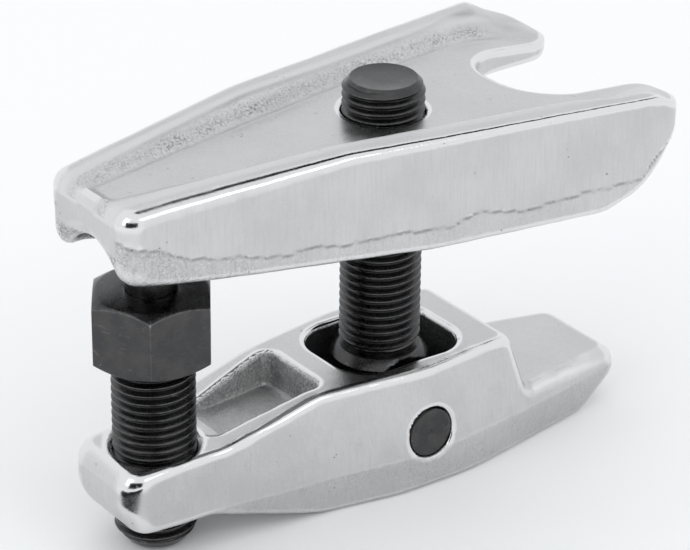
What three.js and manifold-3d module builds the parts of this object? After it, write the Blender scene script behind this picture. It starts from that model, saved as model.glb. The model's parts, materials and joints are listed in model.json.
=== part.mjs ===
// Ball joint separator: two forged arms, an eye stud on a cross pin, and a forcing screw with a thrust pin.
// Millimetres, +Z up. x is measured from the forcing screw's axis towards the fork, z from the flat underside
// of the lower arm, and y = 0 is the plane of symmetry. The last lines centre the tool on the origin.
import * as THREE from 'three';
import { mergeVertices } from 'three/addons/utils/BufferGeometryUtils.js';
import Module from 'manifold-3d';

const wasm = await Module();
wasm.setup();

// Driving dimensions
const tailX = -11.5; // left end of both arms
const noseX = 94; // tip of the lower arm
const forkX = 94.4; // tips of the fork
const gap = 0.3; // clearance between pieces that touch
const below = -10; // a height under the tool, where cutting solids begin
const split = 40; // a height in the empty space between the arms
const above = 80; // a height over the tool
const reach = 40; // a half-width beyond both sides

const thread = { radius: 7, pitch: 1.5, depth: 0.85, sides: 18 }; // M14 x 1.5
const hex = { acrossFlats: 19, bottom: 34.5, top: 46.9, cornerAngle: -124.6 };
const hexChamfer = { radius: 9, height: 1.15 };
const screw = { bottom: 0.9, endChamfer: 1, pinBoreRadius: 4.5, pinBoreDepth: 7 };
const thrustPin = { radius: 4.2, top: 58.6, dome: 0.9 };

const stud = { x: 46.7, top: 72.1, endChamfer: 1.3, threadBottom: 22.4 };
const eye = { radius: 9.2, shoulder: 20.9, halfWidth: 7.4, bottom: 2.2, bottomChamfer: 3.8 };
const pin = { z: 11, radius: 4.4, halfLength: 14.8, chamfer: 0.4 };

const fork = { halfSlot: 10.2, throatX: 69.2, underside: 60.9 };
const web = { tailTop: 65.6, studTop: 66.3, throatTop: 65.8, tipTop: 62.8 };
const channel = { roof: 59, wall: 4.3, tipHalfWidth: 13.5 };
const boss = { radius: 12.5, bottom: 53.5 };
const bore = { radius: 7.45, chamfer: 0.8 };
const flank = { atTail: 10.9, atFork: 27.4, endX: 86.5 };
const upperDraft = { height: 54.5, up: 0.0026, down: 0.005 };
const lowerDraft = { height: 7.9, up: 0.0095, down: 0.011 };
const arch = { halfWidth: 4, top: 58.1, flare: 1.5 };

const hole = { left: 34.6, right: 59.6, halfWidth: 9.8, round: 7 };
const pocket = { floor: 17.2, draft: 1.2 };

const forged = new THREE.MeshStandardMaterial({ color: 0xc4c4c2, roughness: 0.34, metalness: 1 });
const blackOxide = new THREE.MeshStandardMaterial({ color: 0x26272a, roughness: 0.42, metalness: 0.8 });

// Solids and meshes

function toSolid(geometry) {
  const bare = new THREE.BufferGeometry();
  bare.setAttribute('position', geometry.getAttribute('position'));
  bare.setIndex(geometry.index);
  const merged = mergeVertices(bare, 1e-4);
  const index = merged.index.array;
  const triangles = [];
  for (let i = 0; i < index.length; i += 3) {
    const [a, b, c] = index.slice(i, i + 3);
    if (a !== b && b !== c && c !== a) triangles.push(a, b, c);
  }
  const vertProperties = merged.getAttribute('position').array;
  const triVerts = new Uint32Array(triangles);
  return new wasm.Manifold(new wasm.Mesh({ numProp: 3, vertProperties, triVerts }));
}

function toMesh(name, solid, material) {
  const { vertProperties, triVerts } = solid.getMesh();
  const geometry = new THREE.BufferGeometry();
  geometry.setAttribute('position', new THREE.BufferAttribute(vertProperties, 3));
  geometry.setIndex(new THREE.BufferAttribute(triVerts, 1));
  geometry.computeVertexNormals();
  const mesh = new THREE.Mesh(geometry, material);
  mesh.name = name;
  return mesh;
}

// Outlines

// A closed outline through corners [x, y, round]: each corner is cut back by its round and curved.
function roundedOutline(corners) {
  const shape = new THREE.Shape();
  corners.forEach(([x, y, round], i) => {
    const corner = new THREE.Vector2(x, y);
    const towards = ([nx, ny]) => new THREE.Vector2(nx, ny).sub(corner).setLength(round).add(corner);
    const start = towards(corners.at(i - 1));
    const end = towards(corners[(i + 1) % corners.length]);
    if (i === 0) shape.moveTo(start.x, start.y);
    else shape.lineTo(start.x, start.y);
    if (round > 0) shape.quadraticCurveTo(x, y, end.x, end.y);
  });
  shape.closePath();
  return shape;
}

// The corners of one side of a symmetric outline, followed by their mirror images across y = 0.
function mirrored(corners) {
  const others = corners.map(([x, y, round]) => [x, -y, round]).reverse();
  return roundedOutline([...others, ...corners]);
}

// Building blocks

// An outline in the XY plane between two heights.
function prism(shape, bottom, top, curveSegments = 5) {
  const options = { depth: top - bottom, bevelEnabled: false, curveSegments };
  return new THREE.ExtrudeGeometry(shape, options).translate(0, 0, bottom);
}

// A side view in the XZ plane, run across the tool's width.
function slab(shape, halfWidth, curveSegments = 4) {
  const options = { depth: 2 * halfWidth, bevelEnabled: false, curveSegments };
  return new THREE.ExtrudeGeometry(shape, options).rotateX(Math.PI / 2).translate(0, halfWidth, 0);
}

// Points [radius, z] turned about the Z axis, from the bottom point on the axis to the top one.
function turned(points, sides, x = 0) {
  const profile = points.map(([radius, z]) => new THREE.Vector2(radius, z));
  return new THREE.LatheGeometry(profile, sides).rotateX(Math.PI / 2).translate(x, 0, 0);
}

// A forging's sides narrow away from the parting height: y shrinks by that share for each millimetre.
function drafted(shape, bottom, top, { height, up, down }) {
  const options = { depth: 2, steps: 2, bevelEnabled: false, curveSegments: 5 };
  const geometry = new THREE.ExtrudeGeometry(shape, options);
  const position = geometry.getAttribute('position');
  const shrinks = [down * (height - bottom), 0, up * (top - height)];
  for (let i = 0; i < position.count; i++) {
    const level = Math.round(position.getZ(i));
    position.setY(i, position.getY(i) * (1 - shrinks[level]));
    position.setZ(i, [bottom, height, top][level]);
  }
  return toSolid(geometry);
}

// A plain hole about Z with a chamfer at each mouth.
function chamferedBore(x, radius, bottom, top, chamfer) {
  const wide = radius + chamfer;
  const profile = [[0, bottom - 2], [wide, bottom - 2], [wide, bottom], [radius, bottom + chamfer]];
  profile.push([radius, top - chamfer], [wide, top], [wide, top + 2], [0, top + 2]);
  return toSolid(turned(profile, 28, x));
}

// A right-hand external thread: one V for each pitch, wound by rows of points that climb as they go round.
function threadedRod(bottom, top, { radius, pitch, depth, sides }) {
  const crest = pitch / 8;
  const profile = [[radius, 0], [radius, crest], [radius - depth, pitch / 2 + crest / 2]];
  const perPitch = profile.length;
  const turns = Math.ceil((top - bottom) / pitch) + 3;
  const rows = turns * perPitch;
  const start = bottom - 2 * pitch;
  const positions = [];
  const index = [];
  for (let i = 0; i < sides; i++) {
    const angle = (2 * Math.PI * i) / sides;
    for (let k = 0; k <= rows; k++) {
      const [r, rise] = profile[k % perPitch];
      const z = start + pitch * (i / sides + Math.floor(k / perPitch)) + rise;
      positions.push(r * Math.cos(angle), r * Math.sin(angle), z);
    }
  }
  const column = rows + 1;
  const at = (i, k) => (i < sides ? i * column + k : k + perPitch);
  const lastRow = (i) => (i < sides ? rows : rows - perPitch);
  for (let i = 0; i < sides; i++) {
    for (let k = 0; k < rows; k++) {
      if (i === sides - 1 && k + 1 + perPitch > rows) break;
      index.push(at(i, k), at(i + 1, k), at(i + 1, k + 1), at(i, k), at(i + 1, k + 1), at(i, k + 1));
    }
  }
  const low = positions.length / 3;
  positions.push(0, 0, start - pitch, 0, 0, start + pitch * (turns + 2));
  const lowRim = [...Array(sides).keys()].map((i) => at(i, 0));
  for (let k = perPitch; k > 0; k--) lowRim.push(k);
  const highRim = [...Array(sides).keys()].map((i) => at(i, lastRow(i)));
  const lastColumn = (sides - 1) * column;
  for (let k = rows - 1; k >= rows - perPitch; k--) highRim.push(lastColumn + k);
  lowRim.forEach((from, i) => index.push(lowRim[(i + 1) % lowRim.length], from, low));
  highRim.forEach((from, i) => index.push(from, highRim[(i + 1) % highRim.length], low + 1));
  const geometry = new THREE.BufferGeometry();
  geometry.setAttribute('position', new THREE.Float32BufferAttribute(positions, 3));
  geometry.setIndex(index);
  return toSolid(geometry);
}

// A threaded rod cut to length, with its ends chamfered at 45 degrees by the sizes given.
function chamferedThread(bottom, top, bottomChamfer, topChamfer) {
  const wide = thread.radius + 1;
  const profile = [[0, bottom], [thread.radius - bottomChamfer, bottom], [wide, bottom + bottomChamfer + 1]];
  profile.push([wide, top - topChamfer - 1], [thread.radius - topChamfer, top], [0, top]);
  return threadedRod(bottom, top, thread).intersect(toSolid(turned(profile, 30)));
}

// Pieces

function upperArmOutline() {
  return mirrored([
    [tailX, flank.atTail, 2.5],
    [flank.endX, flank.atFork, 5],
    [forkX, 20.9, 3.6],
    [forkX, 13.7, 3.4],
    [90.3, fork.halfSlot, 1.6],
    [fork.throatX, fork.halfSlot, 10],
  ]);
}

function upperArmSideView() {
  return roundedOutline([
    [tailX, 54.9, 3],
    [10, 52.7, 6],
    [43, 49.9, 8],
    [75, 49.5, 3.5],
    [81.5, 52.4, 3.4],
    [88.6, 59.8, 2.6],
    [forkX, 61.9, 1.1],
    [forkX, 64.3, 1.1],
    [91.4, 66.3, 1.5],
    [85.5, 67.7, 3],
    [24, 69.15, 10],
    [tailX, 66.2, 2],
  ]);
}

// The shallow dish between the rims on top. It runs out through the fork.
function topRecess() {
  const tail = -9.8;
  const end = forkX + 4;
  const halfWidth = (x) => 6.3 + 0.16 * x;
  const outline = mirrored([[tail, halfWidth(tail), 1.5], [end, halfWidth(end), 0]]);
  const sideView = roundedOutline([
    [tail, web.tailTop, 0],
    [stud.x, web.studTop, 4],
    [fork.throatX + 2, web.throatTop, 5],
    [end, web.tipTop, 0],
    [end, above, 0],
    [tail, above, 0],
  ]);
  return toSolid(prism(outline, split, above)).intersect(toSolid(slab(sideView, reach)));
}

// The hollow underneath, between the skirts, with a deeper roof over the fork.
function undersideChannel() {
  const start = tailX + 2;
  const plan = mirrored([
    [start, flank.atTail - channel.wall, 1.5],
    [flank.endX - 3, flank.atFork - channel.wall - 0.8, 2.4],
    [forkX + 1, channel.tipHalfWidth, 0],
  ]);
  const sideView = roundedOutline([
    [start, split, 0],
    [forkX, split, 0],
    [forkX, fork.underside, 0],
    [stud.x + 12, fork.underside, 2],
    [stud.x, channel.roof, 2],
    [start, channel.roof, 0],
  ]);
  const { radius, bottom } = boss;
  const studBoss = toSolid(turned([[0, bottom], [radius, bottom], [radius, above], [0, above]], 24, stud.x));
  return toSolid(prism(plan, split, above)).intersect(toSolid(slab(sideView, reach))).subtract(studBoss);
}

// The arch through the end wall of the upper arm.
function tailArch() {
  const { halfWidth, top, flare } = arch;
  const shape = roundedOutline([
    [-halfWidth - flare, split, 0],
    [halfWidth + flare, split, 0],
    [halfWidth, top, 2],
    [-halfWidth, top, 2],
  ]);
  const options = { depth: 6, bevelEnabled: false, curveSegments: 3 };
  const geometry = new THREE.ExtrudeGeometry(shape, options).rotateX(Math.PI / 2).rotateZ(Math.PI / 2);
  return toSolid(geometry.translate(tailX - 3, 0, 0));
}

function upperArm() {
  const sides = drafted(upperArmOutline(), split, above, upperDraft);
  const body = sides.intersect(toSolid(slab(upperArmSideView(), reach)));
  const studBore = chamferedBore(stud.x, bore.radius, boss.bottom, web.studTop, bore.chamfer);
  return body.subtract(topRecess()).subtract(undersideChannel()).subtract(tailArch()).subtract(studBore);
}

function lowerArmOutline() {
  return mirrored([
    [tailX, 9.4, 5],
    [8, 9.6, 4],
    [41, 15.2, 5],
    [57, 15.5, 5],
    [90, 10, 2],
    [noseX, 8.2, 2],
  ]);
}

function lowerArmSideView() {
  return roundedOutline([
    [tailX, 9.4, 1.6],
    [-8.4, 6.8, 1.8],
    [6, 6.4, 4],
    [27, 0, 7],
    [86.5, 0, 6],
    [noseX, 6.4, 2],
    [noseX, 10.4, 1.9],
    [69.5, 11.5, 0.8],
    [66.3, 22, 1],
    [27.5, 23, 4],
    [7, 18.4, 3],
    [tailX, 18.3, 2.5],
  ]);
}

// The oval opening that the stud leans in.
function studHole() {
  const { left, right, halfWidth, round } = hole;
  return toSolid(prism(mirrored([[left, halfWidth, round], [right, halfWidth, round]]), below, split));
}

// The lightening pocket: its walls lean outwards from a flat floor.
function lighteningPocket() {
  const shape = mirrored([[9.5, 5.8, 1.5], [29, 7.7, 3]]);
  const wallHeight = 6;
  const options = {
    depth: 10,
    bevelThickness: wallHeight,
    bevelSize: pocket.draft,
    bevelOffset: -pocket.draft,
    bevelSegments: 1,
    curveSegments: 4,
  };
  return toSolid(new THREE.ExtrudeGeometry(shape, options).translate(0, 0, pocket.floor + wallHeight));
}

function crossBore(radius, halfLength) {
  const cylinder = new THREE.CylinderGeometry(radius, radius, 2 * halfLength, 32);
  return toSolid(cylinder.translate(stud.x, 0, pin.z));
}

function lowerArm() {
  const sides = drafted(lowerArmOutline(), below, split, lowerDraft);
  const body = sides.intersect(toSolid(slab(lowerArmSideView(), reach)));
  const screwBore = chamferedBore(0, thread.radius + gap, 6.45, 18.35, bore.chamfer);
  const pinBore = crossBore(pin.radius + gap, reach);
  return body.subtract(studHole()).subtract(lighteningPocket()).subtract(screwBore).subtract(pinBore);
}

// Threaded stud with a flattened eye at its foot.
function eyeStud() {
  const neck = stud.threadBottom;
  const rod = chamferedThread(neck - 1, stud.top, 0, stud.endChamfer).translate(stud.x, 0, 0);
  const { radius, bottom, shoulder, halfWidth, bottomChamfer } = eye;
  const profile = [[0, bottom], [radius - bottomChamfer, bottom], [radius, bottom + bottomChamfer]];
  profile.push([radius, shoulder], [thread.radius + 0.4, neck], [0, neck]);
  const foot = toSolid(turned(profile, 32, stud.x));
  const flats = toSolid(new THREE.BoxGeometry(4 * radius, 2 * halfWidth, 2 * above).translate(stud.x, 0, 0));
  return rod.add(foot.intersect(flats)).subtract(crossBore(pin.radius + gap, reach));
}

function crossPin() {
  const { radius, halfLength, chamfer } = pin;
  const profile = [[0, -halfLength], [radius - chamfer, -halfLength], [radius, chamfer - halfLength]];
  profile.push([radius, halfLength - chamfer], [radius - chamfer, halfLength], [0, halfLength]);
  return toSolid(turned(profile, 32).rotateX(Math.PI / 2).translate(stud.x, 0, pin.z));
}

function hexHead() {
  const { acrossFlats, bottom, top, cornerAngle } = hex;
  const { radius, height } = hexChamfer;
  const cornerRadius = acrossFlats / Math.sqrt(3);
  const prismatic = new THREE.CylinderGeometry(cornerRadius, cornerRadius, top - bottom, 6);
  prismatic.rotateX(Math.PI / 2).rotateZ(THREE.MathUtils.degToRad(cornerAngle + 90));
  prismatic.translate(0, 0, (top + bottom) / 2);
  const wide = 2 * cornerRadius - radius;
  const profile = [[0, bottom], [radius, bottom], [wide, bottom + 2 * height]];
  profile.push([wide, top - 2 * height], [radius, top], [0, top]);
  return toSolid(prismatic).intersect(toSolid(turned(profile, 36)));
}

function forcingScrew() {
  const rod = chamferedThread(screw.bottom, hex.bottom + 2, screw.endChamfer, 0);
  const { pinBoreRadius: wide, pinBoreDepth } = screw;
  const floor = hex.top - pinBoreDepth;
  const pinBore = toSolid(turned([[0, floor], [wide, floor], [wide, above], [0, above]], 24));
  return rod.add(hexHead()).subtract(pinBore);
}

// The thrust pin sits loose in the screw's head, so that it stands still under the arm while the screw turns.
function loosePin() {
  const { radius, top, dome } = thrustPin;
  const bottom = hex.top - screw.pinBoreDepth + gap;
  const profile = [[0, bottom], [radius, bottom], [radius, top - dome], [radius - 0.5, top - 0.4 * dome]];
  profile.push([radius * 0.6, top], [0, top]);
  return toSolid(turned(profile, 24));
}

const tool = new THREE.Group();
tool.add(
  toMesh('lower_arm', lowerArm(), forged),
  toMesh('upper_arm', upperArm(), forged),
  toMesh('eye_stud', eyeStud(), blackOxide),
  toMesh('cross_pin', crossPin(), blackOxide),
  toMesh('forcing_screw', forcingScrew(), blackOxide),
  toMesh('thrust_pin', loosePin(), blackOxide),
);
tool.position.x = -(tailX + forkX) / 2;

export default tool;
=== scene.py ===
"""Ball joint separator in Blender: fine meshes, materials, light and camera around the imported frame.

The shape functions work in millimetres in the tool's own coordinates: x from the forcing screw's axis
towards the fork, y across, z up from the lower arm's flat underside. place() turns them into metres in
the row frame. Both arms are distance fields (negative inside) whose surfaces are meshed on a grid.
"""
import json
import math

import bmesh
import bpy
import numpy as np
from mathutils import Matrix, Vector


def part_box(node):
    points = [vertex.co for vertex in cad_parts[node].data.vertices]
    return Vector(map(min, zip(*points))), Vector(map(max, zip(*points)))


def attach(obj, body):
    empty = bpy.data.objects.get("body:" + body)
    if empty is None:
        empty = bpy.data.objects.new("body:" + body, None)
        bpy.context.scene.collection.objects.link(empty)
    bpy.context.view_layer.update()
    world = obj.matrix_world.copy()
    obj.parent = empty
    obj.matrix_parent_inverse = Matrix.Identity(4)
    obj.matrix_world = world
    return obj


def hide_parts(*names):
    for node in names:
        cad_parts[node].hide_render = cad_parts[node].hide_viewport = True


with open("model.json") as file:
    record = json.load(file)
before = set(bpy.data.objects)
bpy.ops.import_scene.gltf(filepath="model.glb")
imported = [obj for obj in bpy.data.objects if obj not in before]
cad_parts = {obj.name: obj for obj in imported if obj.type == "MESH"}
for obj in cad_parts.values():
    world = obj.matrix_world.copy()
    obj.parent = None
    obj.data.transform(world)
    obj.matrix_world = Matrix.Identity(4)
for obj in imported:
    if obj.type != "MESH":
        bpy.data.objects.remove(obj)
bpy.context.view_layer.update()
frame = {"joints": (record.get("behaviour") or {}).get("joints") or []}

# ---------------------------------------------------------------- sizes taken from the frame

MM = 0.001
joints = {j["name"]: j for j in frame["joints"]}
SCREW_X = joints["screw_turn"]["pos_m"][0] / MM  # the screw's axis in the row frame
STUD_X = joints["stud_tilt"]["pos_m"][0] / MM - SCREW_X  # the cross pin and the stud, from the screw
PIN_Z = joints["stud_tilt"]["pos_m"][2] / MM


def extent(node):
    """Lowest and highest corner of a CAD node in the tool's millimetres."""
    low, high = (np.array(corner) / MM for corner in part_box(node))
    return low - (SCREW_X, 0, 0), high - (SCREW_X, 0, 0)


UPPER_LOW, UPPER_HIGH = extent("upper_arm")
LOWER_LOW, LOWER_HIGH = extent("lower_arm")
SCREW_LOW, SCREW_HIGH = extent("forcing_screw")
THRUST_LOW, THRUST_HIGH = extent("thrust_pin")
STUD_LOW, STUD_HIGH = extent("eye_stud")
PIN_HIGH = extent("cross_pin")[1]
TAIL = UPPER_LOW[0] - 0.5  # the CAD edges are sharp, so the rounded ones start a little further out
FORK = UPPER_HIGH[0] + 0.2
LOWER_TAIL = LOWER_LOW[0] + 0.4
NOSE = LOWER_HIGH[0]

# ---------------------------------------------------------------- distance fields


def rounded_max(a, b, radius):
    """The overlap of two solids, with a convex edge of this radius where their faces meet."""
    outside = np.hypot(np.maximum(radius + a, 0), np.maximum(radius + b, 0))
    return np.minimum(-radius, np.maximum(a, b)) + outside


def overlap(radius, first, *others):
    """What all the solids have in common, with rounded edges."""
    for other in others:
        first = rounded_max(first, other, radius)
    return first


def cut(body, tool, radius):
    """The body without the tool, with a convex edge of this radius round the cut."""
    return rounded_max(body, -tool, radius)


def join(a, b, fillet):
    """Both solids together, with a concave fillet where they meet."""
    return -rounded_max(-a, -b, fillet)


def smooth_step(t):
    """0 below 0, 1 above 1 and smooth between."""
    t = np.clip(t, 0, 1)
    return t * t * (3 - 2 * t)


class Profile:
    """A height or width along x, through a few points, softened over that many millimetres to each side."""

    STEP = 0.1

    def __init__(self, points, soften=0):
        xs, heights = zip(*points)
        self.x = np.arange(-40, 130, self.STEP)
        self.height = np.interp(self.x, xs, heights)
        if soften:
            kernel = np.hanning(int(2 * soften / self.STEP) + 3)
            padded = np.pad(self.height, len(kernel) // 2, mode="edge")
            self.height = np.convolve(padded, kernel / kernel.sum(), "same")[
                len(kernel) // 2 : len(kernel) // 2 + len(self.x)
            ]
        self.lean = 1 / np.hypot(1, np.gradient(self.height, self.STEP))

    def __call__(self, x):
        return np.interp(x, self.x, self.height)

    def above(self, x, z):
        """Distance of height z over the profile, measured square to it."""
        return (z - self(x)) * np.interp(x, self.x, self.lean)


def forging_waves(x, y, z, seed):
    """The slow unevenness of a hammered surface, from -1 to 1."""
    a = np.sin(0.43 * x + 0.31 * z + seed) * np.sin(0.37 * y - 0.22 * x + 2 * seed)
    b = np.sin(0.91 * x - 0.57 * y + 3 * seed) * np.sin(0.83 * z + 0.35 * x + 5 * seed)
    return 0.6 * a + 0.4 * b


# ---------------------------------------------------------------- upper arm

FLANK_TAIL = 11.4  # half-width at the tail
FLANK_RATE = 0.163  # and how fast it grows towards the fork
FLANK_SLOPE = 0.986  # about the cosine of the flank's angle to the tool's length
SHOULDER = (86.9, 27.4)  # x and y of a point on the bevel at the prongs' outer corners
SLOT = 10.6  # half-width of the fork's slot
THROAT = 70.6  # where the slot begins
THROAT_RADIUS = 9.6
WALL = 4.3  # thickness of the side walls round the hollow
PRONG_WALL = (83.5, 22.3)  # x and y of a point on the hollow's bevel inside the prongs
ARCH = (61.6, 58.7, -6)  # the tail's flared arch: the height where its sides would meet, its roof, its end
BOSS_RADIUS = 12.5
BOSS_FACE = 53.5  # height of the boss's lower face
STUD_HOLE = 7.2  # radius
STUD_COUNTERSINK = 58.9  # height of the point of the countersink's cone
UPPER_PARTING = 54.5  # height above which the flanks lean in
DRAFT_RATE = 0.00042  # how much more they lean in for each millimetre from the tail
FLASH_STEP = 0.12  # how far the trimming line stands out over the skin below it
UPPER_HAMMERED = 0.045  # depth of the forging's unevenness
AT_45_DEGREES = 0.707

upper_top = Profile(
    [(TAIL, 66.9), (0, 67.9), (14, 68.8), (27, 69.55), (45, 69.0), (65, 68.6), (85.4, 68.0), (88.4, 66.1)]
    + [(92, 65.2), (FORK, 63)],
    1.8,
)
upper_bottom = Profile(
    [(TAIL, 54.2), (10, 52), (43, 49.2), (75, 48.8), (81.5, 51.6), (88.6, 59.2), (FORK, 61.7)], 3
)
top_edge = Profile([(TAIL, 2.6), (10, 2.4), (32, 1.5), (60, 1.0), (FORK, 0.9)], 6)  # radius of the rims' edge
flash_base = Profile(
    [(TAIL, 62), (-6, 60.2), (-1, 57.7), (9, 55.9), (15, 54.5), (19, 55.2), (26, 54.2), (36, 54.1)]
    + [(44, 53.1), (51, 54.8), (58, 53), (72, 53.9), (81, 53.9), (84.5, 57.7), (FORK, 63)],
    1.5,
)
web_floor = Profile([(TAIL, 65.8), (20, 66.4), (STUD_X, 66.5), (71.2, 65.8), (FORK + 4, 62.8)], 4)
rim_foot = Profile([(TAIL, 4.1), (79, 18.5), (87, 16.8), (92, 14), (FORK, 13)], 3)  # half the web's width
rim_lean = Profile([(70, 0.5), (84, 1.3), (92, 2.8)], 5)  # how far the rims' inner walls lean outwards
slot_side = Profile([(89.5, SLOT), (FORK, 12.6)], 2.5)
channel_roof = Profile([(STUD_X, 59), (STUD_X + 12, 60.5)], 3)


def flash_line(x):
    """Height of the ragged trimming line along the upper arm's sides."""
    return flash_base(x) + 0.13 * np.sin(0.9 * x + 1) + 0.09 * np.sin(1.9 * x) + 0.03 * np.sin(4.3 * x + 2)


def upper_width(x):
    """Half the upper arm's width, before its draft."""
    return FLANK_TAIL + FLANK_RATE * (x - TAIL)


def upper_outside(x, side, z):
    """The upper arm seen from above: drafted flanks, bevelled prongs, rounded tail and the fork's slot."""
    draft = DRAFT_RATE * (x - TAIL) * np.maximum(z - UPPER_PARTING, 0)
    below_flash = flash_line(x) - z
    inset = FLASH_STEP * smooth_step(below_flash / 0.35) + 0.02 * np.maximum(below_flash, 0)
    flank = (side - upper_width(x) + draft + inset) * FLANK_SLOPE
    shoulder = ((x - SHOULDER[0]) * 6.5 + (side - SHOULDER[1]) * 7.9) / 10.23 + inset
    slot = rounded_max(side - slot_side(x), THROAT - x, THROAT_RADIUS)
    plan = rounded_max(flank, shoulder, radius=2.6)
    plan = rounded_max(plan, x - FORK, radius=5)
    plan = rounded_max(plan, TAIL - x, radius=3)
    return cut(plan, slot, radius=4)


def upper_dish(x, side, z):
    """The recess in the upper arm's top, between the two rims."""
    lean = rim_lean(x)
    rim = (side - rim_foot(x) - lean * (z - web_floor(x))) / np.hypot(1, lean)
    return overlap(2.2, rim, -web_floor.above(x, z), TAIL + 1.7 - x)


def upper_hollow(x, side, z, from_stud):
    """The channel in the upper arm's underside, less the boss round the stud."""
    prong_wall = ((x - PRONG_WALL[0]) * 8.8 + (side - PRONG_WALL[1]) * 11.9) / 14.8
    flank_wall = side - upper_width(x) + WALL
    channel = overlap(1.8, flank_wall, prong_wall, channel_roof.above(x, z), TAIL + 2 - x)
    boss = rounded_max(from_stud - BOSS_RADIUS, BOSS_FACE - z, radius=0.8)
    return cut(channel, boss, radius=1.5)


def upper_arm(x, y, z):
    """The upper arm's distance field. Its edges are rounder near the tail."""
    side = np.abs(y)
    from_stud = np.hypot(x - STUD_X, y)
    body = rounded_max(upper_outside(x, side, z), upper_top.above(x, z), top_edge(x))
    arch_top, arch_roof, arch_end = ARCH
    arch = overlap(1.2, (side - arch_top + z) * AT_45_DEGREES, z - arch_roof, x - arch_end)
    bottom = cut(-upper_bottom.above(x, z), arch, radius=2)
    body = rounded_max(body, bottom, radius=1.1 + 2.7 * np.exp((TAIL - x) / 4))
    body = cut(body, upper_dish(x, side, z), radius=1.1)
    body = cut(body, upper_hollow(x, side, z, from_stud), radius=0.9)
    countersink = (from_stud - z + STUD_COUNTERSINK) * AT_45_DEGREES
    body = cut(body, np.minimum(from_stud - STUD_HOLE, countersink), radius=0.35)
    return body + UPPER_HAMMERED * forging_waves(x, y, z, seed=0.7)


# ---------------------------------------------------------------- lower arm

HOLE = (34.6, 59.6, 9.8)  # the opening for the eye: left, right, half-width
HOLE_CORNER = 7  # radius of its corners
POCKET = (7.4, 29)  # the lightening pocket: where it runs out into the boss's top, and its far end
POCKET_SIDE = 5.9  # its half-width at its narrow end
SCREW_HOLE = 7.15  # radius
SCREW_MOUTHS = (10.1, 14.8)  # heights of the points of the cones at the hole's upper and lower mouth
PIN_HOLE = 4.52  # radius
LOWER_PARTING = 7.9  # height where the flanks are widest
STEP_X = 66.8  # where the tall part ends and the nose begins
NOSE_TOP = (69.5, 11.5)  # x and height of a point on the nose's top
NOSE_FALL = 0.0449  # how fast the nose's top falls towards its tip
LOWER_HAMMERED = 0.05

lower_width = Profile(
    [(LOWER_TAIL, 9.4), (6, 9.7), (18, 11.7), (30, 13.2), (41, 15.6), (53, 16.1), (59, 15.8), (90, 10.9)]
    + [(NOSE, 10.2)],
    4,
)
top_width = Profile(
    [(LOWER_TAIL, 8.6), (7, 9.6), (20, 10.1), (28, 10.9), (46, 13.6), (60, 12), (70, 11.6), (82, 9.7)]
    + [(90, 7.8), (NOSE, 7)],
    5,
)
lower_top = Profile([(8, 18.3), (14, 20.1), (26, 23.1), (46, 22.9), (STEP_X, 22.3)], 3)
lower_bottom = Profile(
    [(LOWER_TAIL, 8.6), (-8, 6.6), (5, 6.5), (26, 0.3), (31, 0.05), (85.5, 0.05), (NOSE, 6.4)], 2.5
)
pocket_floor = Profile([(5, 18.9), (8.5, 18.1), (14, 17.4), (30, 17.2)], 2)


def lower_outside(x, side, z):
    """The lower arm without its holes: widest at the parting line, with a step down to the nose."""
    belt = lower_width(x) - 0.05 * np.maximum(z - LOWER_PARTING, 0) - 0.14 * np.maximum(LOWER_PARTING - z, 0)
    crown = top_width(x) + 0.3 + 0.165 * (22.4 - z)
    plan = rounded_max(side - belt, side - crown, radius=0.7)
    plan = rounded_max(plan, LOWER_TAIL - x, radius=4)
    plan = rounded_max(plan, x - NOSE, radius=2.6)
    from_tail = np.exp((LOWER_TAIL - x) / 4)
    step = ((x - STEP_X) * 10.5 + (z - 22) * 3.2) / 10.98
    block = rounded_max(step, lower_top.above(x, z), radius=1.6)
    nose = z - NOSE_TOP[1] + NOSE_FALL * (x - NOSE_TOP[0])
    lid = join(block, nose, fillet=0.8)
    body = rounded_max(plan, lid, radius=1.3 + 2.2 * from_tail + 1.2 * smooth_step((x - 62) / 8))
    return rounded_max(body, -lower_bottom.above(x, z), radius=1.3 + 3.5 * from_tail)


def eye_hole(x, side):
    """The opening the stud's eye stands in."""
    left, right, half = HOLE
    return overlap(HOLE_CORNER, side - half, left - x, x - right)


def lower_arm(x, y, z):
    """The lower arm's distance field."""
    side = np.abs(y)
    body = cut(lower_outside(x, side, z), eye_hole(x, side), radius=0.8)
    lean = 0.2 * (23.2 - z)  # of the pocket's walls, so that it narrows downwards
    pocket_wall = side - POCKET_SIDE - 0.0974 * (x - 9.5) + lean
    pocket = overlap(2.2, pocket_wall, x - POCKET[1] + lean, POCKET[0] - x)
    pocket = rounded_max(pocket, pocket_floor(x) - z, radius=1.2)
    body = cut(body, pocket, radius=0.8)
    from_screw = np.hypot(x, y)
    upper_mouth, lower_mouth = SCREW_MOUTHS
    mouths = np.minimum(from_screw - z + upper_mouth, from_screw + z - lower_mouth) * AT_45_DEGREES
    body = cut(body, np.minimum(from_screw - SCREW_HOLE, mouths), radius=0.3)
    from_pin = np.hypot(x - STUD_X, z - PIN_Z)
    body = cut(body, from_pin - PIN_HOLE, radius=0.55)
    return body + LOWER_HAMMERED * forging_waves(x, y, z, seed=1.9)


# ---------------------------------------------------------------- meshing

GRID_CELL = 0.5


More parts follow.
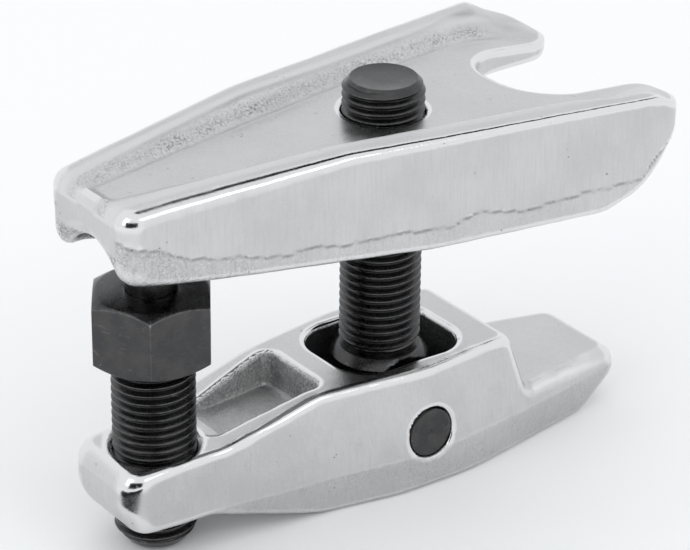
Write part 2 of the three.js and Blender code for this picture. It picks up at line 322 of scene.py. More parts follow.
def surface_nets(field, low, high, cell):
    """Vertices and outward quads of the field's zero surface: one vertex in each grid cell it crosses."""
    axes = [np.arange(a - 2 * cell, b + 3 * cell, cell) for a, b in zip(low, high)]
    values = field(*np.meshgrid(*axes, indexing="ij", sparse=True))
    cells = np.array(values.shape) - 1
    stride = np.array([cells[1] * cells[2], cells[2], 1])
    owners, points, quads = [], [], []
    for axis in range(3):
        across, up = (axis + 1) % 3, (axis + 2) % 3
        near = np.take(values, range(cells[axis]), axis)
        far = np.take(values, range(1, cells[axis] + 1), axis)
        start = np.argwhere((near < 0) != (far < 0))
        a, b = near[tuple(start.T)], far[tuple(start.T)]
        point = start.astype(float)
        point[:, axis] += a / (a - b)
        corner = []
        for shift_across, shift_up in ((0, 0), (-1, 0), (-1, -1), (0, -1)):
            cell_index = start.copy()
            cell_index[:, across] += shift_across
            cell_index[:, up] += shift_up
            corner.append(cell_index @ stride)
            owners.append(corner[-1])
            points.append(point)
        quad = np.stack(corner, 1)
        quad[a > 0] = quad[a > 0][:, ::-1]
        quads.append(quad)
    used, owner = np.unique(np.concatenate(owners), return_inverse=True)
    points = np.concatenate(points)
    count = np.bincount(owner)
    vertices = np.stack([np.bincount(owner, points[:, i]) / count for i in range(3)], 1)
    return vertices * cell + [a[0] for a in axes], np.searchsorted(used, np.concatenate(quads))


def gradient(field, p, h=0.03):
    """The field's slope at each point, from differences over 2h."""
    steps = []
    for axis in range(3):
        d = np.zeros(3)
        d[axis] = h
        steps.append((field(*(p + d).T) - field(*(p - d).T)) / (2 * h))
    return np.stack(steps, 1)


def meshed(field, low, high, cell):
    """The field's surface with evenly spread vertices that lie on it, and its true normals."""
    vertices, quads = surface_nets(field, low, high, cell)
    following = np.roll(quads, -1, 1)
    vertex = np.concatenate([quads, following]).ravel()
    neighbour = np.concatenate([following, quads]).ravel()
    count = np.bincount(vertex)[:, None]
    for relax in (0.6, 0.6, 0.4, 0, 0):
        if relax:
            mean = np.stack([np.bincount(vertex, vertices[neighbour, i]) for i in range(3)], 1) / count
            vertices = vertices + relax * (mean - vertices)
        g = gradient(field, vertices)
        size = np.maximum((g * g).sum(1), 0.2)
        move = field(*vertices.T) / size
        vertices = vertices - np.clip(move, -cell, cell)[:, None] * g
    g = gradient(field, vertices)
    return vertices, quads, g / np.linalg.norm(g, axis=1, keepdims=True)


def place(vertices):
    """Tool millimetres to metres in the row frame."""
    return (np.asarray(vertices) + (SCREW_X, 0, 0)) * MM


def set_attribute(mesh, name, values):
    """Gives each of the mesh's vertices a number under that name."""
    mesh.attributes.new(name, "FLOAT", "POINT").data.foreach_set("value", values.astype(np.float32))


def convexity(mesh):
    """How sharply the surface bends at each vertex, in 1/mm: above 0 on edges, below 0 in corners."""
    count = len(mesh.vertices)
    points = np.empty(3 * count, np.float32)
    normals = np.empty(3 * count, np.float32)
    mesh.vertices.foreach_get("co", points)
    mesh.vertex_normals.foreach_get("vector", normals)
    points, normals = points.reshape(-1, 3) / MM, normals.reshape(-1, 3)
    edges = np.empty(2 * len(mesh.edges), np.int32)
    mesh.edges.foreach_get("vertices", edges)
    a, b = edges.reshape(-1, 2).T
    along = points[b] - points[a]
    bend = ((normals[b] - normals[a]) * along).sum(1) / np.maximum((along * along).sum(1), 0.01)
    both = np.concatenate([a, b])
    number = np.maximum(np.bincount(both, minlength=count), 1)
    bend = np.bincount(both, np.concatenate([bend, bend]), count) / number
    for _ in range(2):
        spread = np.bincount(a, bend[b], count) + np.bincount(b, bend[a], count)
        bend = 0.5 * bend + 0.5 * spread / number
    return bend


def finish_piece(mesh, material, body, node):
    """Puts a mesh in the scene with its material, riding on its body in place of its CAD node."""
    set_attribute(mesh, "bend", convexity(mesh))
    piece = bpy.data.objects.new(node + "_fine", mesh)
    bpy.context.scene.collection.objects.link(piece)
    mesh.materials.append(material)
    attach(piece, body)
    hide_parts(node)


def make_forging(node, field, low, high, zones, material):
    """Meshes a field from its box's low and high corner as the fine form of the arm with that node's name."""
    vertices, quads, normals = meshed(field, low, high, GRID_CELL)
    mesh = bpy.data.meshes.new(node + "_fine")
    mesh.from_pydata(place(vertices), [], quads)
    mesh.shade_smooth()
    mesh.normals_split_custom_set_from_vertices(normals)
    for zone, values in zones(vertices, normals).items():
        set_attribute(mesh, zone, values)
    finish_piece(mesh, material, node, node)


# ---------------------------------------------------------------- turned and threaded pieces

THREAD_PITCH = 1.5
THREAD_ROOT = 6.15
THREAD_FORM = [  # rise over the pitch and radius, once round the V with its rounded crest and root
    (0.0, 7.0), (0.09, 7.0), (0.13, 6.96), (0.34, 6.57), (0.54, 6.2), (0.6, 6.16),
    (0.75, THREAD_ROOT), (0.9, 6.16), (0.96, 6.2), (1.16, 6.57), (1.37, 6.96), (1.41, 7.0),
]
SHARP_ANGLE = math.radians(32)  # turned faces that meet at more than this show a crisp edge
WELD = 0.004 * MM  # ring points closer than this become one


def thread_rows(angles, bottom, top, limit):
    """Rows of a right-hand thread that climb as they go round. limit(z) caps the radius near the ends."""
    turns = int((top - bottom) / THREAD_PITCH) + 3
    rise, radius = np.array(THREAD_FORM).T
    offset = (np.arange(turns)[:, None] * THREAD_PITCH + rise).ravel()
    start = bottom - THREAD_PITCH - 0.4
    z = start + offset[:, None] + THREAD_PITCH * (angles - angles[0]) / (2 * math.pi)
    z = np.clip(z, bottom, top)
    return np.minimum(np.tile(radius, turns)[:, None], limit(z)), z


def plain_rows(points, columns):
    """Rings [radius, z]; either may be an array with one value for each column."""
    rows = [[np.broadcast_to(value, columns) for value in point] for point in points]
    radius, z = np.swapaxes(np.array(rows, float), 0, 1)
    return radius, z


def turned_mesh(name, angles, parts, x=0.0):
    """A closed mesh from rows of rings about the Z axis at x, listed from the bottom pole to the top one."""
    radius = np.concatenate([part[0] for part in parts])
    z = np.concatenate([part[1] for part in parts])
    points = np.stack([x + radius * np.cos(angles), radius * np.sin(angles), z], 2)
    rows, columns = radius.shape
    index = np.arange(rows * columns).reshape(rows, columns)
    quads = np.stack([index[:-1, :-1], index[:-1, 1:], index[1:, 1:], index[1:, :-1]], 2).reshape(-1, 4)
    mesh = bpy.data.meshes.new(name)
    mesh.from_pydata(place(points.reshape(-1, 3)), [], quads)
    welded = bmesh.new()
    welded.from_mesh(mesh)
    bmesh.ops.remove_doubles(welded, verts=welded.verts, dist=WELD)
    bmesh.ops.dissolve_degenerate(welded, edges=welded.edges, dist=WELD / 2)
    bmesh.ops.recalc_face_normals(welded, faces=welded.faces)
    welded.to_mesh(mesh)
    welded.free()
    mesh.shade_smooth()
    mesh.set_sharp_from_angle(angle=SHARP_ANGLE)
    return mesh


def round_angles(count, extra=()):
    """Even steps once round, with some extra angles among them."""
    angles = np.linspace(0, 2 * math.pi, count + 1)
    return np.unique(np.concatenate([angles, np.mod(extra, 2 * math.pi)]))


HEX_FLAT = 9.5  # half the width across flats
HEX_CORNER = math.radians(-124.6)  # where one corner points
HEX_BOTTOM = 34.5  # height of the hexagon's lower face
HEX_FACE = 9.0  # radius at which the hexagon's 30 degree chamfer begins
CHAMFER_SLOPE = 0.577
CORNER_WEAR = 0.14  # how far the hexagon's upright corners are rounded back
THRUST_BORE = 4.27  # radius of the blind bore that the thrust pin stands in


def hexagon_outline():
    """Angles round the hexagon, closer together at its corners, and the hexagon's radius at each."""
    within = np.array([0, 0.4, 0.9, 1.6, 3, 6, 10, 15, 20, 25, 30])
    sector = np.radians(np.concatenate([within, 60 - within[-2:0:-1]]))
    angles = np.concatenate([sector + math.radians(60 * k) for k in range(6)] + [[2 * math.pi]]) + HEX_CORNER
    from_corner = np.mod(angles - HEX_CORNER + 1e-9, math.pi / 3)
    from_flat = from_corner - math.pi / 6
    flat = HEX_FLAT / np.cos(from_flat)
    corner = HEX_FLAT / math.cos(math.pi / 6) - CORNER_WEAR + 0.13 * np.cos(18 * from_flat) ** 2
    return angles, np.minimum(flat, corner)


def forcing_screw():
    """The threaded screw with its hexagon and the blind bore the thrust pin stands in."""
    angles, hexagon = hexagon_outline()
    bottom, top = SCREW_LOW[2], SCREW_HIGH[2]
    chamfer = CHAMFER_SLOPE * (hexagon - HEX_FACE)

    def limit(z):
        pointed_end = THREAD_ROOT - 0.85 + 0.75 * (z - bottom)
        undercut = THREAD_ROOT - 0.1 + np.maximum(HEX_BOTTOM - 1 - z, 0)
        return np.minimum(pointed_end, undercut)

    columns = len(angles)
    start = plain_rows([(0, bottom + 0.5), (1.0, bottom + 0.5), (1.6, bottom), (5.2, bottom)], columns)
    thread = thread_rows(angles, bottom, HEX_BOTTOM, limit)
    sides = np.linspace(0, 1, 9)[1:-1]
    low, high = HEX_BOTTOM + chamfer, top - chamfer
    head = [(THREAD_ROOT + 0.05, HEX_BOTTOM), (HEX_FACE - 0.15, HEX_BOTTOM)]  # its edges are slightly rounded
    head += [(HEX_FACE + 0.05, HEX_BOTTOM + 0.04)]
    head += [(hexagon - 0.14, low - 0.08), (hexagon - 0.03, low + 0.03), (hexagon, low + 0.16)]
    head += [(hexagon, (low + 0.16) * (1 - t) + (high - 0.16) * t) for t in sides]
    head += [(hexagon, high - 0.16), (hexagon - 0.03, high - 0.03), (hexagon - 0.14, high + 0.08)]
    head += [(HEX_FACE + 0.05, top - 0.04), (HEX_FACE - 0.15, top), (THRUST_BORE + 0.9, top)]
    head += [(THRUST_BORE + 0.16, top), (THRUST_BORE + 0.05, top - 0.05), (THRUST_BORE, top - 0.16)]
    head += [(THRUST_BORE, top - 2), (THRUST_BORE, THRUST_LOW[2] - 0.3), (0, THRUST_LOW[2] - 0.3)]
    return turned_mesh("forcing_screw_fine", angles, [start, thread, plain_rows(head, columns)])


def thrust_pin():
    """The loose pin with its rounded tip."""
    angles = round_angles(96)
    low, high = THRUST_LOW[2], THRUST_HIGH[2]
    radius = THRUST_HIGH[0]
    rings = [(0, low), (radius - 0.4, low), (radius - 0.1, low + 0.12), (radius, low + 0.4)]
    rings += [(radius, z) for z in np.linspace(low + 1, high - 1.6, 12)]
    rings += [(radius - 0.02, high - 1.2), (radius - 0.15, high - 0.8), (radius - 0.5, high - 0.45)]
    rings += [(radius - 1.6, high - 0.15), (1.2, high - 0.02), (0, high)]
    return turned_mesh("thrust_pin_fine", angles, [plain_rows(rings, len(angles))])


EYE_RADIUS = 9.2
EYE_SHOULDER = 20.9  # where the eye's cone neck begins
NECK = 22.4  # where the stud's thread starts


def eye_stud():
    """The stud with its eye: a turned shape cut by two flats, still without the cross pin's hole."""
    half = STUD_HIGH[1]
    turn = math.asin(half / EYE_RADIUS)
    angles = round_angles(120, [turn, -turn, math.pi - turn, math.pi + turn])
    flats = half / np.maximum(np.abs(np.sin(angles)), 1e-6)
    low, top = STUD_LOW[2], STUD_HIGH[2]
    outline = [(0, low), (3, low), (5.3, low), (5.6, low + 0.12), (6.4, low + 0.9), (7.6, low + 2.1)]
    outline += [(8.7, low + 3.2), (9.08, low + 3.65), (EYE_RADIUS, low + 4.2)]
    outline += [(EYE_RADIUS, z) for z in np.linspace(low + 5, EYE_SHOULDER - 3.5, 10)]
    outline += [(9.1, EYE_SHOULDER - 2.8), (8.7, EYE_SHOULDER - 1.6), (8.52, EYE_SHOULDER - 0.5)]
    outline += [(8.5, EYE_SHOULDER - 0.02), (8.3, EYE_SHOULDER + 0.22), (7.9, EYE_SHOULDER + 0.7)]
    outline += [(7.4, NECK - 0.3), (7.0, NECK), (THREAD_ROOT - 0.1, NECK)]
    foot = [(np.minimum(radius, flats), z) for radius, z in outline]

    def limit(z):
        run_out = THREAD_ROOT - 0.1 + np.maximum(z - NECK - 0.8, 0)
        chamfered_end = THREAD_ROOT - 0.45 + (top - z)
        return np.minimum(run_out, chamfered_end)

    columns = len(angles)
    thread = thread_rows(angles, NECK, top, limit)
    cap = plain_rows([(5.5, top), (5.3, top - 0.05), (2.0, top - 0.12), (0, top - 0.12)], columns)
    return turned_mesh("eye_stud_fine", angles, [plain_rows(foot, columns), thread, cap], STUD_X)


PIN_REACH = 0.3  # how far the cross pin's ends reach past the CAD pin's, as the rounded flanks do
PIN_CLEARANCE = 0.15  # between the cross pin and the eye's bore


def laid_through_eye(name, angles, rows):
    """A turned mesh about the cross pin's axis, its rows' z running along the axis."""
    mesh = turned_mesh(name, angles, [rows], -SCREW_X)
    lay_down = Matrix.Rotation(math.pi / 2, 4, "X")
    mesh.transform(Matrix.Translation(place((STUD_X, 0, PIN_Z))) @ lay_down)
    return mesh


def cross_pin():
    """The pin through the lower arm, with turned rings and rounded rims on both ends."""
    angles = round_angles(96)
    radius, half = PIN_HIGH[0] - STUD_X, PIN_HIGH[1] + PIN_REACH
    ring = [(0, 0.32), (0.35, 0.3), (0.6, 0.12), (2.6, 0.1), (3.1, 0.1), (3.45, 0.0), (radius - 0.4, 0.0)]
    ring += [(radius - 0.12, 0.1), (radius, 0.42), (radius, 1.4), (radius, 4)]
    rings = [(r, inset - half) for r, inset in ring] + [(r, half - inset) for r, inset in reversed(ring)]
    return laid_through_eye("cross_pin_fine", angles, plain_rows(rings, len(angles)))


def bore_through(mesh, radius):
    """Cuts the cross pin's hole through a mesh."""
    half = 3 * EYE_RADIUS
    angles = round_angles(96)
    rings = [(0, -half), (radius, -half), (radius, half), (0, half)]
    drill = laid_through_eye("drill", angles, plain_rows(rings, len(angles)))
    cutter = bpy.data.objects.new("drill", drill)
    blank = bpy.data.objects.new("blank", mesh)
    for thing in (cutter, blank):
        bpy.context.scene.collection.objects.link(thing)
    modifier = blank.modifiers.new("bore", "BOOLEAN")
    modifier.object = cutter
    modifier.solver = "EXACT"
    bored = bpy.data.meshes.new_from_object(blank.evaluated_get(bpy.context.evaluated_depsgraph_get()))
    for thing in (cutter, blank):
        bpy.data.objects.remove(thing)
    bored.name = mesh.name
    bored.shade_smooth()
    bored.set_sharp_from_angle(angle=SHARP_ANGLE)
    return bored


# ---------------------------------------------------------------- materials


class Paint:
    """A material's nodes, in short words."""

    def __init__(self, name):
        self.material = bpy.data.materials.new(name)
        self.material.use_nodes = True
        self.tree = self.material.node_tree
        self.shader = self.tree.nodes["Principled BSDF"]
        self.place = self.tree.nodes.new("ShaderNodeTexCoord").outputs["Object"]

    def feed(self, socket, value):
        """Links another node's socket to this one, or sets its value."""
        if isinstance(value, bpy.types.NodeSocket):
            self.tree.links.new(value, socket)
        else:
            socket.default_value = value

    def scaled(self, per_mm):
        """The place on the object, with this many cells for each millimetre along x, y and z."""
        mapping = self.tree.nodes.new("ShaderNodeMapping")
        mapping.inputs["Scale"].default_value = [rate / MM for rate in per_mm]
        self.feed(mapping.inputs["Vector"], self.place)
        return mapping.outputs["Vector"]

    def noise(self, per_mm, detail=2.0, roughness=0.5, distortion=0.0):
        """Noise with this many cells for each millimetre, either one rate or three along x, y and z."""
        node = self.tree.nodes.new("ShaderNodeTexNoise")
        rates = per_mm if isinstance(per_mm, tuple) else (per_mm,) * 3
        self.feed(node.inputs["Vector"], self.scaled(rates))
        node.inputs["Scale"].default_value = 1.0
        node.inputs["Detail"].default_value = detail
        node.inputs["Roughness"].default_value = roughness
        node.inputs["Distortion"].default_value = distortion
        return node.outputs["Fac"]

    def dots(self, per_mm):
        """Distance from scattered points."""
        node = self.tree.nodes.new("ShaderNodeTexVoronoi")
        self.feed(node.inputs["Vector"], self.scaled((per_mm,) * 3))
        node.inputs["Scale"].default_value = 1.0
        return node.outputs["Distance"]

    def height(self):
        """Height over the floor, in metres."""
        node = self.tree.nodes.new("ShaderNodeSeparateXYZ")
        self.feed(node.inputs["Vector"], self.place)
        return node.outputs["Z"]

    def attribute(self, name):
        """A number from the mesh's vertices."""
        node = self.tree.nodes.new("ShaderNodeAttribute")
        node.attribute_name = name
        return node.outputs["Fac"]

    def ramp(self, value, low, high, out_low=0.0, out_high=1.0):
        """Carries the value's range from low to high over to the other range, with soft ends."""
        node = self.tree.nodes.new("ShaderNodeMapRange")
        node.interpolation_type = "SMOOTHSTEP"
        for socket, number in zip(node.inputs, (value, low, high, out_low, out_high)):
            self.feed(socket, number)
        return node.outputs["Result"]

    def math(self, operation, a, b=0.0, c=0.0):
        node = self.tree.nodes.new("ShaderNodeMath")
        node.operation = operation
        for socket, number in zip(node.inputs, (a, b, c)):
            self.feed(socket, number)
        return node.outputs["Value"]

    def mix(self, share, a, b):
        """Colour a with this share of it replaced by colour b."""
        node = self.tree.nodes.new("ShaderNodeMix")
        node.data_type = "RGBA"
        colour_inputs = node.inputs[0], node.inputs[6], node.inputs[7]
        for socket, value in zip(colour_inputs, (share, a, b)):
            self.feed(socket, value)
        return node.outputs[2]

    def times(self, a, b):
        return self.math("MULTIPLY", a, b)

    def add(self, a, b):
        return self.math("ADD", a, b)

    def finish(self, tone, rough, normal):
        """Connects the colour, roughness and normal of a bare metal and gives its material."""
        self.feed(self.shader.inputs["Base Color"], tone)
        self.feed(self.shader.inputs["Roughness"], rough)
        self.feed(self.shader.inputs["Normal"], normal)
        self.shader.inputs["Metallic"].default_value = 1.0
        return self.material

    def bump(self, height, depth_mm, before=None):
        """The normal of a surface that this height moves by up to that depth, over the bumps before it."""
        node = self.tree.nodes.new("ShaderNodeBump")
        node.inputs["Distance"].default_value = depth_mm * MM
        self.feed(node.inputs["Height"], height)
        if before is not None:
            self.feed(node.inputs["Normal"], before)
        return node.outputs["Normal"]


def grey(value, warmth=0.0):
    """A grey of this brightness; warmth tips it towards red."""
    return (value * (1 + warmth), value, value * (1 - warmth), 1.0)


def nickel_forging():
    """Drop-forged steel, ground on the sides and plated: satin flats, polished edges, cast-like hollows, with
    painted shade and painted light.
    """
    p = Paint("satin_nickel_forging")
    cast = p.attribute("cast")
    matt_with_painted_light = p.attribute("matt_with_painted_light")
    painted_belly_shade = p.attribute("painted_belly_shade")
    painted_shadow = p.attribute("painted_shadow")
    bend = p.attribute("bend")
    edge = p.ramp(bend, 0.08, 0.26)
    crease_shade = p.ramp(bend, -0.08, -0.4)
    polish = p.times(edge, p.math("MULTIPLY_ADD", matt_with_painted_light, -1.0, 1.0))
    clouds = p.noise(0.11, 3)
    streaks = p.noise((2.6, 2.6, 0.16), 4, 0.6)  # upright grinding marks
    fine_streaks = p.noise((9.0, 9.0, 0.5), 2, 0.6)
    grain = p.noise(7.0, 3, 0.65)
    lumps = p.noise(1.5, 4, 0.62, 0.4)
    coarse = p.noise(2.4, 4, 0.7, 0.3)
    ridges = p.noise((2.2, 2.2, 0.5), 3, 0.6, 0.8)
    patches = p.ramp(p.noise(0.16, 2), 0.42, 0.6, 0.2, 1.0)  # where the as-forged skin is roughest
    pit_where = p.ramp(p.noise(0.35, 2), 0.62, 0.72)
    pits = p.times(p.ramp(p.dots(0.9), 0.2, 0.08), pit_where)

    tone = p.mix(p.ramp(clouds, 0.3, 0.7), grey(0.56, 0.004), grey(0.62, 0.003))
    tone = p.mix(p.times(p.ramp(streaks, 0.42, 0.7), 0.3), tone, grey(0.49))
    # painted shade: the lower arm's belly, below its parting line, is darker
    tone = p.mix(p.times(painted_belly_shade, 0.3), tone, grey(0.50))
    # painted light: the matt walls of the upper arm's recess are lightened, except where the belly's painted
    # shade is
    tone = p.mix(p.times(matt_with_painted_light, p.math("MULTIPLY_ADD", painted_belly_shade, -0.65, 0.65)), tone, grey(0.80))
    tone = p.mix(polish, tone, grey(0.76, 0.003))
    # painted shade in concave creases and corners
    tone = p.mix(p.times(crease_shade, 0.4), tone, grey(0.34))
    dark_grains = p.ramp(coarse, 0.4, 0.5, 0.85, 0.0)
    bright_grains = p.ramp(coarse, 0.55, 0.64)
    furrows = p.ramp(ridges, 0.38, 0.48, 0.4, 0.0)
    tone = p.mix(p.times(p.times(cast, patches), dark_grains), tone, grey(0.14))
    tone = p.mix(p.times(cast, bright_grains), tone, grey(0.85))
    tone = p.mix(p.times(cast, furrows), tone, grey(0.2))
    tone = p.mix(p.times(pits, 0.75), tone, grey(0.2))
    # painted shade: dark along the trimming line and on the walls of the lower arm's hole
    tone = p.mix(painted_shadow, tone, grey(0.14))

    rough = p.add(p.ramp(grain, 0.25, 0.75, 0.22, 0.34), p.ramp(clouds, 0.35, 0.65, -0.04, 0.05))
    for zone, change in ((polish, -0.2), (matt_with_painted_light, 0.2), (cast, 0.1)):
        rough = p.add(rough, p.times(zone, change))

    normal = p.bump(p.times(lumps, p.math("MULTIPLY_ADD", cast, 0.9, 0.1)), 0.16)
    normal = p.bump(p.times(coarse, cast), 0.3, normal)
    normal = p.bump(p.times(ridges, cast), 0.25, normal)
    for height, depth in ((streaks, 0.012), (fine_streaks, 0.004), (grain, 0.005), (pits, -0.08)):
        normal = p.bump(height, depth, normal)
    return p.finish(tone, rough, normal)


def black_oxide(name, worn_above):
    """Machined steel, blackened and lightly oiled, with painted shade in its creases. Its edges are worn,
    more so above that height in mm.
    """
    p = Paint(name)
    bend = p.attribute("bend")
    clouds = p.noise(0.35, 3)
    scuffs = p.ramp(p.noise((0.5, 0.5, 1.6), 5, 0.75, 1.2), 0.6, 0.66)
    grain = p.noise(5.0, 3, 0.6)
    edge = p.times(p.ramp(bend, 0.5, 2.2), p.ramp(p.noise(1.4, 3), 0.35, 0.6, 0.35, 1.0))
    worn = p.ramp(p.height(), worn_above * MM, (worn_above + 0.5) * MM, 0.22, 1.0)

    tone = p.mix(p.ramp(clouds, 0.35, 0.7), (0.066, 0.066, 0.068, 1), (0.084, 0.082, 0.081, 1))
    # painted shade in concave creases, such as the threads' roots
    tone = p.mix(p.ramp(bend, -0.15, -0.9), tone, (0.035, 0.034, 0.034, 1))
    tone = p.mix(p.times(scuffs, 0.4), tone, grey(0.2))
    tone = p.mix(p.times(edge, worn), tone, grey(0.34))
    rough = p.add(p.ramp(grain, 0.3, 0.7, 0.22, 0.32), p.ramp(clouds, 0.3, 0.7, -0.05, 0.06))
    normal = p.bump(clouds, 0.03, p.bump(grain, 0.006))
    return p.finish(tone, rough, normal)


def pale_floor():
    """Matt, nearly white paper."""
    p = Paint("pale_floor")
    p.feed(p.shader.inputs["Base Color"], p.mix(p.noise(0.004, 2), grey(0.95), grey(0.97)))
    p.shader.inputs["Roughness"].default_value = 0.9
    p.shader.inputs["Specular IOR Level"].default_value = 0.1
    return p.material


# ---------------------------------------------------------------- zones of the forgings

# Each zone is a number from 0 to 1 at every vertex, and nickel_forging() reads it: "cast" is skin left as
# forged, "seam" painted shade along the trimming line and on the hole's walls, "dull" a matt wall that also
# gets painted light where "shade" is 0, and "shade" painted shade on the lower arm's belly.

FLASH_WIDTH = 0.21  # half the width of the painted shade along the trimming line
HOLLOW_TOP = 59.5  # height at which the hollow's rough skin has faded out
WEB_FOOT = 64  # height just under the web; the walls of the recess are above it
POCKET_WALLS = (10, 30, 8.6, 16.6)  # a box round the pocket's rough walls: left, right, half-width, bottom


def upper_zones(vertices, normals):
    """As-forged skin below the trimming line near the tail, in the hollow and at the foot of the rims;
    painted shade along the trimming line and painted light on the recess's walls.
    """
    x, y, z = vertices.T
    below = flash_line(x) - z
    outside = smooth_step((np.abs(y) - upper_width(x) + 3.2) / 0.8)
    hollow = smooth_step((HOLLOW_TOP - z) / 0.8) * (1 - outside)
    near_tail = np.exp(-np.maximum(x - 4, 0) / 14)
    cast = np.maximum(outside * smooth_step(below / 0.6) * (0.12 + 0.38 * near_tail), hollow)
    from_foot = np.abs(y) - rim_foot(x) - 0.3
    on_web = smooth_step((z - web_floor(x) + 1) / 0.5) * smooth_step((88 - x) / 6)
    band = np.exp(-(((from_foot + 0.35) / 1.3) ** 2)) * on_web
    facing_out = smooth_step((0.5 - normals[:, 2]) / 0.3)
    # painted shade along the trimming line, where its small step stands in shadow
    painted_shadow = 0.6 * outside * np.exp(-(((below - 0.15) / FLASH_WIDTH) ** 2)) * facing_out
    rim_wall = smooth_step((from_foot + 2.5) / 0.8) * smooth_step((4 - from_foot) / 1.2) * (1 - outside)
    return {
        "cast": np.maximum(cast, 0.8 * band),
        "painted_shadow": painted_shadow,
        # matt walls of the recess, which also get painted light
        "matt_with_painted_light": rim_wall * smooth_step((z - WEB_FOOT) / 0.5),
        "painted_belly_shade": np.zeros(len(x)),
    }


def lower_zones(vertices, normals):
    """As-forged skin in the pocket, in the hole and faintly on the belly, with painted shade on the belly and
    on the hole's walls.
    """
    x, y, z = vertices.T
    side = np.abs(y)
    left, right, half, bottom = POCKET_WALLS
    in_pocket = (x > left) & (x < right) & (side < half) & (z > bottom) & (z < lower_top(x) - 0.3)
    pocket = in_pocket * (0.3 + 0.4 * smooth_step((0.85 - normals[:, 2]) / 0.3))
    in_hole = smooth_step((0.35 - eye_hole(x, side)) / 0.2) * smooth_step((lower_top(x) - 0.5 - z) / 0.4)
    belly = smooth_step((LOWER_PARTING - z) / 0.6) * (1 - in_hole)
    return {
        "cast": np.maximum.reduce([pocket, 0.9 * in_hole, 0.2 * belly]),
        # painted shade on the walls of the eye's hole
        "painted_shadow": 0.85 * in_hole,
        "matt_with_painted_light": 0.4 * belly,
        # painted shade on the belly
        "painted_belly_shade": belly,
    }


# ---------------------------------------------------------------- the pieces

nickel = nickel_forging()
NOT_WORN = STUD_HIGH[2] + 1  # higher than all the black pieces
WORN_HEAD = SCREW_HIGH[2] - 1.7  # the hexagon's upper edges
black = black_oxide("oiled_black_oxide", NOT_WORN)
black_worn = black_oxide("oiled_black_oxide_worn_edges", WORN_HEAD)
# The grids' starts were found by trial: with them no edge of either mesh has more than two faces.
upper_start = UPPER_LOW + (0.125, 0, 0.125)
lower_start = LOWER_LOW + (0.05, 0, 0.2)
make_forging("upper_arm", upper_arm, upper_start, UPPER_HIGH, upper_zones, nickel)
make_forging("lower_arm", lower_arm, lower_start, LOWER_HIGH, lower_zones, nickel)
stud_mesh = bore_through(eye_stud(), PIN_HIGH[0] - STUD_X + PIN_CLEARANCE)
finish_piece(stud_mesh, black, "eye_stud", "eye_stud")
finish_piece(cross_pin(), black, "lower_arm", "cross_pin")
finish_piece(forcing_screw(), black_worn, "forcing_screw", "forcing_screw")
finish_piece(thrust_pin(), black, "thrust_pin", "thrust_pin")

# ---------------------------------------------------------------- floor, light and camera


def flat_square(name, size, material):
    """A square with its centre at the origin that is part of the studio, not of the tool."""
    mesh = bpy.data.meshes.new(name)
    h = size / 2
    mesh.from_pydata([(-h, -h, 0), (h, -h, 0), (h, h, 0), (-h, h, 0)], [], [(0, 1, 2, 3)])
    mesh.materials.append(material)
    plane = bpy.data.objects.new(name, mesh)
    bpy.context.scene.collection.objects.link(plane)
    return plane


TOOL_MIDDLE = Vector((0, 0, 0.04))  # in metres; the lights and cards face it


def aimed(direction, distance):
    """A matrix at that distance from the tool in a direction, whose -Z looks back at the tool."""
    away = Vector(direction).normalized()
    place_at = Matrix.Translation(TOOL_MIDDLE + away * distance)
    return place_at @ away.to_track_quat("Z", "Y").to_matrix().to_4x4()


def softbox(name, direction, distance, size, radiance):
    """A rectangular light that looks this bright from anywhere, next to the world's 1."""
    light = bpy.data.lights.new(name, "AREA")
    light.shape = "RECTANGLE"
    light.size, light.size_y = size
    light.energy = radiance * math.pi * size[0] * size[1]
    lamp = bpy.data.objects.new(name, light)
    bpy.context.scene.collection.objects.link(lamp)
    lamp.matrix_world = aimed(direction, distance)
    lamp.visible_camera = False


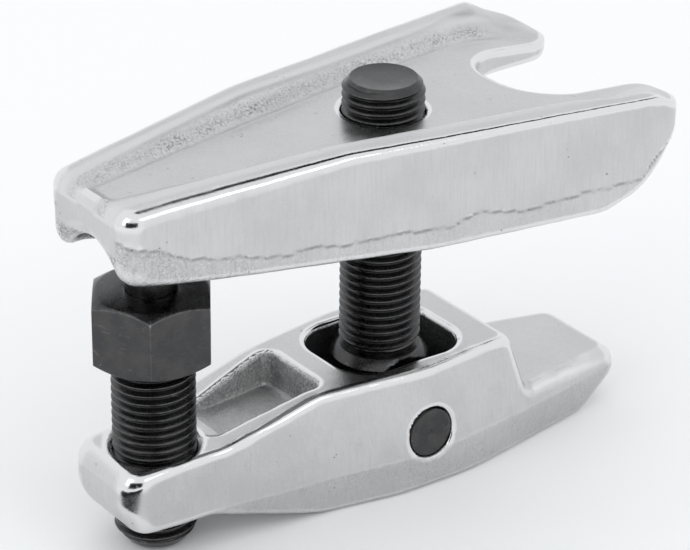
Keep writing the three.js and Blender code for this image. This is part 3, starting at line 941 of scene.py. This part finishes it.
def flag(name, offset, size):
    """A dark card that only shows in reflections, as a studio uses to draw edges on polished metal."""
    p = Paint(name)
    p.shader.inputs["Base Color"].default_value = grey(0.01)
    p.shader.inputs["Roughness"].default_value = 1.0
    card = flat_square(name, 1.0, p.material)
    card.matrix_world = aimed(offset, offset.length) @ Matrix.Diagonal((*size, 1, 1))
    for ray in ("camera", "diffuse", "shadow", "transmission"):
        setattr(card, f"visible_{ray}", False)


FLOOR_SIZE = 6.0  # in metres

flat_square("floor", FLOOR_SIZE, pale_floor())
world = bpy.data.worlds.new("studio")
world.use_nodes = True
background = world.node_tree.nodes["Background"]
background.inputs["Color"].default_value = (0.96, 0.98, 1.0, 1)
background.inputs["Strength"].default_value = 1.0
bpy.context.scene.world = world
softbox("key_front", (0.14, -0.70, 0.70), 0.8, (0.22, 0.15), 2.4)
softbox("fill_left", (-0.9, -0.15, 0.6), 0.9, (0.3, 0.6), 1.15)
flag("flag_over_right", Vector((0.40, 0.16, 0.90)) * 0.7, (0.25, 0.50))
flag("flag_by_camera", Vector((-0.70, -0.62, 0.30)) * 0.45, (0.44, 0.22))
flag("flag_low_left", Vector((-0.064, -0.022, -0.0325)), (0.044, 0.011))

# The camera stands where the photo was taken from.
VIEW_AZIMUTH, VIEW_ELEVATION, VIEW_ROLL = (math.radians(a) for a in (-37.26, 27.25, 0.70))
VIEW_TARGET = Vector((39.13 + SCREW_X, 0, 37.4)) * MM
VIEW_DISTANCE = 0.49556
VIEW_LENS = 152.45
camera_data = bpy.data.cameras.new("camera")
camera_data.sensor_width = 36
camera_data.lens = VIEW_LENS
camera_data.clip_start = 0.01
camera = bpy.data.objects.new("camera", camera_data)
bpy.context.scene.collection.objects.link(camera)
back = Vector((
    math.sin(VIEW_AZIMUTH) * math.cos(VIEW_ELEVATION),
    -math.cos(VIEW_AZIMUTH) * math.cos(VIEW_ELEVATION),
    math.sin(VIEW_ELEVATION),
))
right = Vector((0, 0, 1)).cross(back).normalized()
upward = back.cross(right)
rolled_right = math.cos(VIEW_ROLL) * right + math.sin(VIEW_ROLL) * upward
turn = Matrix((rolled_right, back.cross(rolled_right), back)).transposed().to_4x4()
camera.matrix_world = Matrix.Translation(VIEW_TARGET + back * VIEW_DISTANCE) @ turn
bpy.context.scene.camera = camera
bpy.context.scene.view_settings.view_transform = "Standard"
